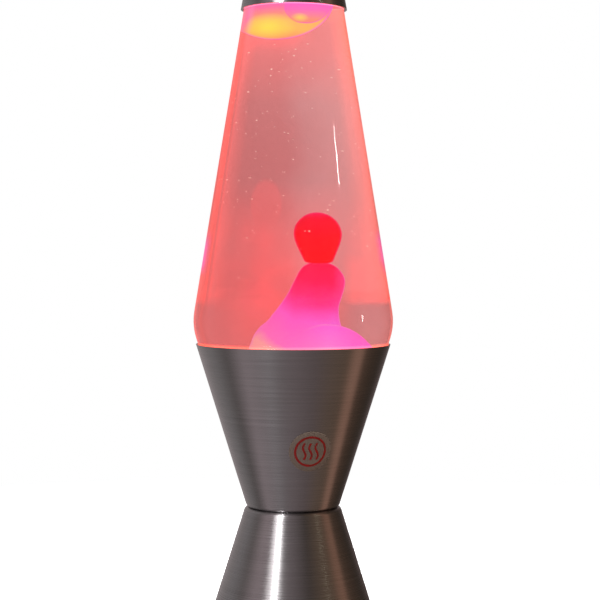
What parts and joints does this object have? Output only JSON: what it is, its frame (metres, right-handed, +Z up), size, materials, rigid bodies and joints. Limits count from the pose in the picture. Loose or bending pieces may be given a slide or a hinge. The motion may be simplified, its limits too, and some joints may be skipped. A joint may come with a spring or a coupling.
{
  "type": "lava lamp",
  "caption": "Desk lava lamp: a tapered glass globe of liquid and glowing wax standing in a waisted spun-metal base with a bulb below and a lift-off metal cap.",
  "frame": {"origin": "centre of the base's resting plane, on the lamp's axis", "axes": "+Z up along the lamp's axis; -Y towards the front, the side with the label; +X to the right of a person who faces the front; the cord inlet is at the back, towards +Y"},
  "size_m": [0.1162, 0.1162, 0.432],
  "materials": {
    "spun_aluminium": "brushed round the axis",
    "rivet_aluminium": "satin",
    "strap_steel": "zinc plated",
    "brass_pipe": "satin",
    "nut_steel": "zinc plated",
    "holder_porcelain": "glazed",
    "terminal_brass": "bright",
    "shell_brass": "bright",
    "black_plastic": "fine moulded texture",
    "black_rubber": "matt",
    "label_film": "clear film printed with a red ring",
    "solder_tip": "soldered",
    "black_insulator": "glossy",
    "bulb_brass": "bright",
    "clear_glass": "clear",
    "stem_glass": "clear",
    "lead_wire": "drawn",
    "filament_wire": "coiled",
    "tinted_glass": "clear, tinted coral",
    "pink_liquid": "clear liquid",
    "pink_wax": "glowing, translucent",
    "red_wax": "glowing, translucent",
    "amber_wax": "glowing, translucent",
    "coil_wire": "drawn wire",
    "liner_plastic": "soft seal",
    "crown_steel": "tin plated"
  },
  "bodies": {
    "base": {"lower_cone": "spun_aluminium", "upper_cone": "spun_aluminium", "waist_rivets": "rivet_aluminium", "socket_bracket": "strap_steel", "lamp_nipple": "brass_pipe", "nipple_nuts": "nut_steel", "lock_washer": "nut_steel", "socket_body": "holder_porcelain", "socket_terminal_screws": "terminal_brass", "socket_screw_shell": "shell_brass", "socket_contact": "shell_brass", "bottom_cover": "black_plastic", "rubber_feet": "black_rubber", "cord_grommet": "black_rubber", "care_label": "label_film"},
    "bulb_carriage": {"bulb_tip_contact": "solder_tip"},
    "bulb": {"bulb_insulator": "black_insulator", "bulb_screw_shell": "bulb_brass", "bulb_envelope": "clear_glass", "bulb_stem": "stem_glass", "bulb_lead_wires": "lead_wire", "bulb_filament": "filament_wire"},
    "globe": {"globe_glass": "tinted_glass", "globe_liquid": "pink_liquid", "wax_column": "pink_wax", "wax_top_mass": "amber_wax", "wax_top_blob": "amber_wax", "heat_coil": "coil_wire", "crown_liner": "liner_plastic", "crown_cap": "crown_steel"},
    "rising_wax": {"wax_blob": "red_wax"},
    "cap": {"top_cap": "spun_aluminium"}
  },
  "joints": [
    {"name": "globe_lift", "type": "slide", "parent": "base", "child": "globe", "axis": [0, 0, 1], "range_m": [0, 0.11]},
    {"name": "cap_lift", "type": "slide", "parent": "globe", "child": "cap", "axis": [0, 0, 1], "range_m": [0, 0.05]},
    {"name": "wax_rise", "type": "slide", "parent": "globe", "child": "rising_wax", "axis": [0, 0, 1], "range_m": [0, 0.085], "deforming": ["globe_liquid"]},
    {"name": "bulb_travel", "type": "slide", "parent": "base", "child": "bulb_carriage", "axis": [0, 0, 1], "range_m": [0, 0.0114]},
    {"name": "bulb_turn", "type": "hinge", "parent": "bulb_carriage", "child": "bulb", "pos_m": [0, 0, 0.04], "axis": [0, 0, 1], "range_deg": [0, 1440]}
  ],
  "couplings": [
    {"joint": "bulb_travel", "follows": "bulb_turn", "m_per_rad": 0.00044913}
  ]
}
